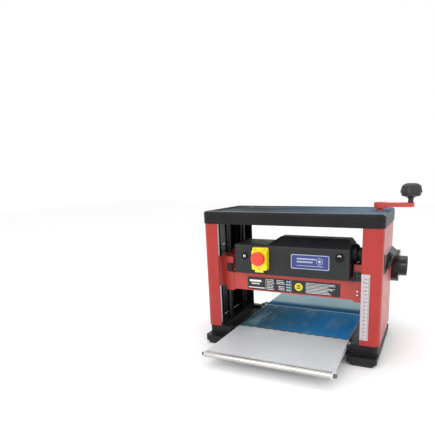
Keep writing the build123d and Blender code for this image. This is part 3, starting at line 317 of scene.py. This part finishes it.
FINISHES = {
    "cast_black": dict(color=(0.008, 0.008, 0.009), rough=0.42, grain=260, depth=0.12,
                       wear=(0.11, 0.11, 0.11), bevel=1.0, specular=0.3),
    "rubber": dict(color=(0.014, 0.014, 0.015), rough=0.75, grain=700, depth=0.05),
    "chrome": dict(color=(0.6, 0.58, 0.55), rough=0.2, metallic=1.0, grain=600, depth=0.002, rough_span=0.1),
    "steel": dict(color=(0.5, 0.5, 0.51), rough=0.34, metallic=1.0, grain=1400, depth=0.008,
                  stretch=(0.05, 1, 1)),
    "dark_steel": dict(color=(0.07, 0.07, 0.075), rough=0.42, metallic=1.0, grain=900, depth=0.01),
    "black_plastic": dict(color=(0.012, 0.012, 0.013), rough=0.42, grain=1100, depth=0.05,
                          wear=(0.06, 0.06, 0.065), bevel=0.8),
    "cover_plastic": dict(color=(0.017, 0.018, 0.0195), rough=0.42, grain=900, depth=0.06,
                          wear=(0.09, 0.09, 0.095), bevel=1.4, specular=0.3),
    "black_gloss": dict(color=(0.008, 0.008, 0.009), rough=0.2, grain=500, depth=0.01, coat=0.3, bevel=1.2,
                        specular=0.35),
    "black_steel": dict(color=(0.013, 0.013, 0.014), rough=0.38, grain=500, depth=0.04,
                        wear=(0.12, 0.12, 0.12)),
    # The castings' own red, drawn lighter than the housing red as painted light against the shade they sit
    # in.
    "red_casting": dict(color=srgb(186, 56, 48), rough=0.4, grain=330, depth=0.1, vary=0.06,
                        wear=(0.5, 0.14, 0.12), bevel=1.4, coat=0.2),
    "grey_casting": dict(color=(0.42, 0.42, 0.42), rough=0.5, metallic=0.8, grain=300, depth=0.12),
    "label_white": dict(color=srgb(190, 183, 187), rough=0.4, grain=200, depth=0.01, vary=0.03),
    "label_black": dict(color=(0.01, 0.01, 0.012), rough=0.33, grain=200, depth=0.01),
    # Black for print, and for the grease and painted shade at the hinge.
    "print_and_shade_black": dict(color=(0.012, 0.012, 0.012), rough=0.5, grain=200, depth=0.0, vary=0.3),
    "print_red": dict(color=srgb(200, 60, 66), rough=0.5, grain=200, depth=0.0),
    "print_white": dict(color=(0.9, 0.9, 0.9), rough=0.45, grain=200, depth=0.0, vary=0.05),
    "print_yellow": dict(color=(0.85, 0.75, 0.03), rough=0.45, grain=200, depth=0.0, vary=0.05),
    "print_sky": dict(color=(0.35, 0.62, 0.85), rough=0.45, grain=200, depth=0.0, vary=0.05),
    "bronze": dict(color=(0.5, 0.33, 0.14), rough=0.35, metallic=1.0, grain=900, depth=0.01),
    "badge_blue": dict(color=srgb(26, 42, 118), rough=0.3, metallic=0.1, grain=900, depth=0.008, coat=0.5),
    "badge_silver": dict(color=(0.42, 0.47, 0.62), rough=0.35, metallic=0.7, grain=900, depth=0.01),
    "yellow_plastic": dict(color=srgb(250, 222, 18), rough=0.33, grain=600, depth=0.02, vary=0.05,
                           wear=(0.9, 0.8, 0.3), bevel=0.8, coat=0.2),
    "red_plastic": dict(color=srgb(235, 52, 28), rough=0.3, grain=600, depth=0.02, vary=0.05, bevel=0.8,
                        coat=0.3),
    "green_plastic": dict(color=(0.03, 0.36, 0.08), rough=0.33, grain=600, depth=0.02),
    "cap_black": dict(color=(0.004, 0.004, 0.0045), rough=0.3, grain=500, depth=0.01, bevel=0.6,
                      specular=0.2),
    "grip_gloss": dict(color=(0.006, 0.006, 0.007), rough=0.1, grain=500, depth=0.01, coat=1.0, bevel=1.2),
    "copper": dict(color=(0.55, 0.22, 0.1), rough=0.35, metallic=1.0, grain=400, depth=0.05),
}

SPECIAL_FINISHES = {
    "housing_paint": housing_paint, "bed_steel": bed_steel, "film_blue": film_blue,
    "column_chrome": column_chrome, "table_coat": table_coat, "outfeed_coat": outfeed_coat,
    "cover_tray": cover_tray,
}


def make_materials():
    """Every material by the name that nodes and pieces ask for."""
    made = {name: surface(name, **finish).material for name, finish in FINISHES.items()}
    made.update({name: make() for name, make in SPECIAL_FINISHES.items()})
    return made


MATERIAL_NODES = {
    "cast_black": ("base_deck", "base_sides", "motor_end_bell"),
    "rubber": ("rubber_feet", "drive_belt", "feed_roller_front", "feed_roller_rear"),
    "bed_steel": ("bed_plate",),
    "column_chrome": ("guide_columns",),
    "dark_steel": (
        "top_plate", "lift_chain", "lead_screw_right", "lead_screw_left", "lift_sprocket_right",
        "lift_sprocket_left", "feed_chain", "motor_pulley", "anti_kickback_pawls",
    ),
    "cover_tray": ("top_cover",),
    "housing_paint": ("housing_left", "housing_right"),
    "grip_gloss": ("carry_grips",),
    "label_white": ("scale_strip",),
    "steel": (
        "stand_screws", "table_pivot_pins", "crank_bolts", "roller_bearings", "pawl_shaft",
        "cutter_head", "cutter_knives", "feed_shaft_front", "feed_shaft_rear",
    ),
    "bronze": ("screw_bushes", "column_bushes", "lead_nuts"),
    "red_casting": ("crank_arm", "carriage_frame", "depth_pointer"),
    "black_plastic": ("crank_knob", "cable_gland", "motor_fan"),
    "black_steel": ("cover_brackets", "chip_hood"),
    "cover_plastic": ("motor_cover",),
    "copper": ("motor_stator", "motor_armature"),
    "cap_black": ("brush_caps", "reset_button"),
    "badge_silver": ("badge_plate",),
    "yellow_plastic": ("switch_box", "switch_flap"),
    "black_gloss": ("dust_adaptor",),
    "grey_casting": ("feed_gearbox", "cutter_pulley"),
    "red_plastic": ("stop_button",),
    "green_plastic": ("start_button",),
    "table_coat": ("infeed_table",),
    "chrome": ("infeed_table_roller", "outfeed_table_roller"),
    "outfeed_coat": ("outfeed_table",),
}


def dress_nodes(materials):
    """Give every CAD node its material."""
    material_of = {node: name for name, nodes in MATERIAL_NODES.items() for node in nodes}
    for name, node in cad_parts.items():
        node.data.materials.clear()
        node.data.materials.append(materials[material_of[name]])


# ---- mesh helpers -------------------------------------------------------------------------------
def piece(name, bm, material, body):
    """Turn a bmesh drawn in millimetres into a piece that rides on a body."""
    bmesh.ops.scale(bm, vec=(MM, MM, MM), verts=bm.verts)
    bmesh.ops.recalc_face_normals(bm, faces=bm.faces)
    mesh = bpy.data.meshes.new(name)
    bm.to_mesh(mesh)
    bm.free()
    mesh.materials.append(material)
    made = bpy.data.objects.new(name, mesh)
    bpy.context.scene.collection.objects.link(made)
    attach(made, body)


def add_slab(bm, outline, axis, low, high):
    """Push a closed outline of (u, v) along Y or Z; u and v are the other two axes in order."""
    def point(u, v, w):
        return (u, w, v) if axis == "Y" else (u, v, w)
    near = [bm.verts.new(point(u, v, low)) for u, v in outline]
    far = [bm.verts.new(point(u, v, high)) for u, v in outline]
    bm.faces.new(near)
    bm.faces.new(reversed(far))
    for i in range(len(outline)):
        j = (i + 1) % len(outline)
        bm.faces.new((near[i], near[j], far[j], far[i]))


def on_front(name, outlines, front, thick, material, body):
    """Flat shapes (outlines of x, z) standing on a face that looks to the front."""
    bm = bmesh.new()
    for outline in outlines:
        add_slab(bm, outline, "Y", front - thick, front)
    piece(name, bm, material, body)


def on_top(name, outlines, base, thick, material, body):
    """Flat shapes (outlines of x, y) lying on a face that looks up."""
    bm = bmesh.new()
    for outline in outlines:
        add_slab(bm, outline, "Z", base, base + thick)
    piece(name, bm, material, body)


def bar(x0, x1, z0, z1):
    """Outline of a rectangle."""
    return [(x0, z0), (x1, z0), (x1, z1), (x0, z1)]


def rounded(x0, x1, y0, y1, r, steps=5):
    """Outline of a rectangle with round corners."""
    corners = ((x1 - r, y1 - r, 0), (x0 + r, y1 - r, 90), (x0 + r, y0 + r, 180), (x1 - r, y0 + r, 270))
    points = []
    for cx, cy, start in corners:
        for i in range(steps + 1):
            a = math.radians(start + 90 * i / steps)
            points.append((cx + r * math.cos(a), cy + r * math.sin(a)))
    return points


def circle(cx, cy, r, count=24):
    """Outline of a circle."""
    turns = [2 * math.pi * i / count for i in range(count)]
    return [(cx + r * math.cos(a), cy + r * math.sin(a)) for a in turns]


def box_mm(node):
    """A CAD node's corner coordinates in millimetres."""
    low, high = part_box(node)
    return low / MM, high / MM


def middle(low, high):
    """Middle (x, z) of a box."""
    return (low.x + high.x) / 2, (low.z + high.z) / 2


# ---- film, grease and painted shade on the bed --------------------------------------------------
FILM = 0.12  # thickness of the film; pieces are drawn in millimetres
HINGE_GREASE_AND_SHADE = 0.1  # thickness of the dark lines of grease and painted shade at the hinge


def bed_film(m):
    """Blue film on the bed, a little smaller than the plate."""
    low, high = box_mm("bed_plate")
    outline = rounded(low.x + 0.8, high.x - 0.8, low.y + 2.5, high.y - 2.5, 1.0, 3)
    on_top("bed_film", [outline], high.z, FILM, m["film_blue"], "stand")


def bed_edge_line(m):
    """Dark grease and painted shade along the bed's edge at the infeed hinge."""
    low, high = box_mm("bed_plate")
    line = bar(low.x, high.x, low.y + 0.3, low.y + 2.4)
    on_top("bed_edge_line", [line], high.z, HINGE_GREASE_AND_SHADE, m["print_and_shade_black"], "stand")


def infeed_edge_dashes(m):
    """Dark dashes of grease and painted shade along the infeed table's hinge edge."""
    low, high = box_mm("bed_plate")
    pitch, half = 26, 7
    dashes = [bar(pitch * i - half, pitch * i + half, low.y - 4.6, low.y - 2.8) for i in range(-6, 7)]
    on_top("infeed_edge_dashes", dashes, high.z, HINGE_GREASE_AND_SHADE, m["print_and_shade_black"], "infeed")


# ---- height scale -------------------------------------------------------------------------------
PRINT = 0.15  # thickness of printed marks
SCALE_MARGIN = 4  # from the strip's ends to its graduation
METRIC_STEP = 2
INCH_STEP = 25.4 / 8
SEGMENTS = {
    0: "abcdef", 1: "bc", 2: "abged", 3: "abgcd", 4: "fgbc",
    5: "afgcd", 6: "afgedc", 7: "abc", 8: "abcdefg", 9: "abcfgd",
}


def digit(number, x, z, wide, tall):
    """Bars of one figure of a scale, drawn with up to seven strokes."""
    t = 0.16 * tall
    mid = z + tall / 2
    strokes = {
        "a": bar(x, x + wide, z + tall - t, z + tall), "g": bar(x, x + wide, mid - t / 2, mid + t / 2),
        "d": bar(x, x + wide, z, z + t), "f": bar(x, x + t, mid, z + tall), "e": bar(x, x + t, z, mid),
        "b": bar(x + wide - t, x + wide, mid, z + tall), "c": bar(x + wide - t, x + wide, z, mid),
    }
    return [strokes[key] for key in SEGMENTS[number]]


def figures(number, x, z, wide, tall):
    """Bars of a whole number of one to three figures."""
    bars = []
    for i, figure in enumerate(str(number)):
        bars += digit(int(figure), x + i * (wide + 0.5), z, wide, tall)
    return bars


def steps_on(low, high, step):
    """How many whole steps of a graduation fit on the strip."""
    return int((high.z - low.z - 2 * SCALE_MARGIN) / step)


def scale_marks_metric(m):
    """Graduation with a figure at every fifth mark, on the strip's right."""
    low, high = box_mm("scale_strip")
    ticks = []
    for i in range(steps_on(low, high, METRIC_STEP)):
        z = low.z + SCALE_MARGIN + METRIC_STEP * i
        length = 6.5 if i % 5 == 0 else 3.6
        ticks.append(bar(high.x - length, high.x - 0.4, z - 0.22, z + 0.22))
        if i % 5 == 0:
            ticks += figures(i // 5 * 10, high.x - 13.2, z - 1.5, 1.6, 3.0)
    ticks.append(bar(high.x - 14.2, high.x - 13.9, low.z + 2, high.z - 2))
    on_front("scale_marks_metric", ticks, low.y, PRINT, m["print_and_shade_black"], "stand")


def scale_marks_inch(m):
    """Eighths of an inch in red with a figure at every inch, on the strip's left."""
    low, high = box_mm("scale_strip")
    ticks = []
    for i in range(steps_on(low, high, INCH_STEP)):
        z = low.z + SCALE_MARGIN + INCH_STEP * i
        length = 4.6 if i % 4 == 0 else 2.4
        ticks.append(bar(low.x + 0.4, low.x + length, z - 0.25, z + 0.25))
        if i % 8 == 0:
            ticks += digit(i // 8, low.x + 5.2, z - 1.6, 1.7, 3.2)
    on_front("scale_marks_inch", ticks, low.y, PRINT, m["print_red"], "stand")


# ---- label on the beam --------------------------------------------------------------------------
BEAM_FRONT = -82.5  # front face of the carriage's front beam
LABEL_THICK = 0.4
LABEL_LEFT, LABEL_RIGHT = -132.0, 142.0
LABEL_BOTTOM, LABEL_TOP = 164.0, 201.0
LABEL_FACE = BEAM_FRONT - LABEL_THICK
LABEL_SEED = 11
PRINT_BLOCKS = (  # left and right from the label's left end, top, rows, pitch, bar height
    (61, 86, 197, 7, 4.6, 1.9),
    (91, 117, 197, 3, 4.6, 1.9),
    (97, 117, 180, 3, 4.6, 1.9),
    (178, 266, 196.5, 8, 3.9, 1.7),
)


def line_block(x0, x1, top, rows, pitch, height, rng):
    """Rows of short bars that read as small print without being any text."""
    bars = []
    for row in range(rows):
        z = top - pitch * row
        end = x1 - rng.random() * 0.3 * (x1 - x0)
        x = x0
        while x < end:
            step = 2.0 + 4.5 * rng.random()
            bars.append(bar(x, min(x + step, end), z - height, z))
            x += step + 1.0
    return bars


def beam_label(m):
    """Dark label on the carriage's front beam."""
    outline = rounded(LABEL_LEFT, LABEL_RIGHT, LABEL_BOTTOM, LABEL_TOP, 1.5)
    on_front("beam_label", [outline], BEAM_FRONT, LABEL_THICK, m["label_black"], "carriage")


def beam_label_bars(m):
    """Blank bars where the label has print, from left to right."""
    rng = random.Random(LABEL_SEED)
    x = LABEL_LEFT
    bars = [bar(x + 7, x + 44, 187, 193), bar(x + 13, x + 38, 180, 183), bar(x + 3, x + 54, 168.5, 171)]
    for line in (57.6, 134):
        bars.append(bar(x + line, x + line + 0.8, LABEL_BOTTOM + 1, LABEL_TOP - 1))
    for left, right, top, rows, pitch, height in PRINT_BLOCKS:
        bars += line_block(x + left, x + right, top, rows, pitch, height, rng)
    on_front("beam_label_bars", bars, LABEL_FACE, PRINT, m["print_white"], "carriage")


def beam_label_dots(m):
    """Two columns of pale blue dots."""
    left, top, radius = LABEL_LEFT + 123, 194.5, 2.7
    dots = [circle(left + 6.4 * (i % 2), top - 8.2 * (i // 2), radius, 16) for i in range(8)]
    on_front("beam_label_dots", dots, LABEL_FACE, PRINT, m["print_sky"], "carriage")


def beam_label_disc(m):
    """Plain yellow disc with three bars."""
    x, z = LABEL_LEFT + 157, (LABEL_BOTTOM + LABEL_TOP) / 2
    disc = circle(x, z, 11.5, 32)
    on_front("beam_label_disc", [disc], LABEL_FACE, PRINT, m["print_yellow"], "carriage")
    face = LABEL_FACE - PRINT
    bars = [bar(x - 6, x + 6, z + rise - 1.2, z + rise + 1.2) for rise in (-4.5, 0, 4.5)]
    on_front("beam_label_disc_mark", bars, face, PRINT, m["print_and_shade_black"], "carriage")


# ---- badge --------------------------------------------------------------------------------------
BADGE_BACK = 0.9  # thickness of the badge plate under its sunk field
BADGE_PAINT = 0.2  # thickness of the blue field


def badge_field(m):
    """Blue field of the name plate."""
    low, high = box_mm("badge_plate")
    outline = rounded(low.x + 2.2, high.x - 2.2, low.z + 2.2, high.z - 2.2, 2.8)
    face = high.y - BADGE_BACK
    on_front("badge_field", [outline], face, BADGE_PAINT, m["badge_blue"], "carriage")


def badge_pattern(m):
    """Plain bars and a ring of dots instead of a name."""
    low, high = box_mm("badge_plate")
    left, mid = low.x + 16, middle(low, high)[1]
    shapes = [bar(left, high.x - 36, mid + 6, mid + 10), bar(left, high.x - 44, mid - 2, mid + 2)]
    shapes.append(bar(left, high.x - 16, mid - 11, mid - 9.4))
    x, z, ring = high.x - 26, mid + 3, 8.5
    for i in range(12):
        a = 2 * math.pi * i / 12
        shapes.append(circle(x + ring * math.cos(a), z + ring * math.sin(a), 1.5, 10))
    shapes.append(circle(x, z, 4.2, 20))
    face = high.y - BADGE_BACK - BADGE_PAINT
    on_front("badge_pattern", shapes, face, PRINT, m["badge_silver"], "carriage")


# ---- small marks --------------------------------------------------------------------------------
def reset_marks(m):
    """Three pale marks on the reset button."""
    low, high = box_mm("reset_button")
    x, z = middle(low, high)
    marks = [bar(x - 3.2, x - 1.2, z - 3.4, z + 3.4)]
    marks += [bar(x + 0.4, x + 3.4, z + 0.6, z + 3.2), bar(x + 0.4, x + 3.4, z - 3.2, z - 1)]
    on_front("reset_marks", marks, low.y, PRINT, m["print_white"], "reset")


def reset_ring(m):
    """Flat black ring on the motor cover round the reset button."""
    x, z = middle(*box_mm("reset_button"))
    outer, inner, count = 10.6, 7.0, 24
    ring = []
    for i in range(count):
        a, b = 2 * math.pi * i / count, 2 * math.pi * (i + 1) / count
        corners = ((outer, a), (outer, b), (inner, b), (inner, a))
        ring.append([(x + r * math.cos(t), z + r * math.sin(t)) for r, t in corners])
    front = box_mm("motor_cover")[0].y
    on_front("reset_ring", ring, front, PRINT, m["cap_black"], "carriage")


def brush_cap_marks(m):
    """Three pale marks on the front brush cap."""
    low, high = box_mm("brush_caps")
    x, z = middle(low, high)
    marks = [bar(x - 5, x - 1, z + 3.2, z + 4.6), bar(x + 0.6, x + 4.6, z + 3.2, z + 4.6)]
    marks.append(bar(x - 3, x + 2.6, z + 5.6, z + 6.8))
    on_front("brush_cap_marks", marks, low.y, PRINT, m["print_white"], "carriage")


def pointer_screw_faces(m):
    """Bright faces of the depth pointer's two screws."""
    front = box_mm("depth_pointer")[0].y
    x, heights, radius = 188, (176, 186), 2.5
    screws = [circle(x, z, radius, 18) for z in heights]
    on_front("pointer_screw_faces", screws, front, PRINT, m["print_white"], "carriage")


def flap_mark(m):
    """Small red triangle at the foot of the switch flap."""
    low, high = box_mm("switch_flap")
    x = middle(low, high)[0]
    triangle = [(x - 2.6, low.z + 12), (x, low.z + 6.5), (x + 2.6, low.z + 12)]
    on_front("flap_mark", [triangle], low.y, PRINT, m["print_red"], "flap")


# ---- camera and studio --------------------------------------------------------------------------
CAMERA_PLACE = (0.36216, -1.10178, 0.48544)
CAMERA_RIGHT = Vector((0.92346, 0.38324, -0.01898))
CAMERA_UP = Vector((-0.06847, 0.21326, 0.97460))


def make_camera():
    """The camera at the photograph's viewing angle."""
    data = bpy.data.cameras.new("camera")
    data.sensor_width = 36.0
    data.lens = 32.945
    data.shift_x = -0.1166
    data.shift_y = 0.1146
    data.clip_end = 50.0
    camera = bpy.data.objects.new("camera", data)
    turn = Matrix((CAMERA_RIGHT, CAMERA_UP, CAMERA_RIGHT.cross(CAMERA_UP))).transposed().to_4x4()
    camera.matrix_world = Matrix.Translation(CAMERA_PLACE) @ turn
    bpy.context.scene.collection.objects.link(camera)
    bpy.context.scene.camera = camera


def make_floor():
    """Pale matt floor."""
    bm = bmesh.new()
    bmesh.ops.create_grid(bm, x_segments=1, y_segments=1, size=6.0)
    mesh = bpy.data.meshes.new("floor")
    bm.to_mesh(mesh)
    bm.free()
    floor = bpy.data.objects.new("floor", mesh)
    n = Nodes("floor_paper")
    n.shader.inputs["Base Color"].default_value = (0.97, 0.97, 0.97, 1)
    n.shader.inputs["Roughness"].default_value = 0.9
    mesh.materials.append(n.material)
    bpy.context.scene.collection.objects.link(floor)


def make_surround():
    """White surround."""
    world = bpy.data.worlds.new("studio")
    world.use_nodes = True
    background = world.node_tree.nodes["Background"]
    background.inputs["Color"].default_value = (1, 1, 1, 1)
    background.inputs["Strength"].default_value = 1.0
    bpy.context.scene.world = world


def area_light(name, place, size, power):
    """A soft rectangular light aimed at the middle of the object."""
    data = bpy.data.lights.new(name, "AREA")
    data.shape = "RECTANGLE"
    data.size, data.size_y = size
    data.energy = power
    light = bpy.data.objects.new(name, data)
    light.location = place
    target = Vector((0, 0, 0.2))
    light.rotation_euler = (target - Vector(place)).to_track_quat("-Z", "Y").to_euler()
    bpy.context.scene.collection.objects.link(light)


def make_studio():
    """Floor, surround and three large soft lights."""
    make_floor()
    make_surround()
    area_light("key", (-0.5, -2.3, 1.35), (1.6, 1.2), 18)
    area_light("fill", (2.0, -1.2, 1.2), (1.2, 1.6), 6)
    area_light("top", (0, 0.6, 2.4), (2.0, 1.2), 10)
    bpy.context.scene.view_settings.view_transform = "Standard"


# ---- build --------------------------------------------------------------------------------------
PIECES = (
    bed_film, bed_edge_line, infeed_edge_dashes, scale_marks_metric, scale_marks_inch, beam_label,
    beam_label_bars, beam_label_dots, beam_label_disc, badge_field, badge_pattern, reset_marks, reset_ring,
    brush_cap_marks, pointer_screw_faces, flap_mark,
)

make_camera()
MATERIALS = make_materials()
dress_nodes(MATERIALS)
for add in PIECES:
    add(MATERIALS)
make_studio()
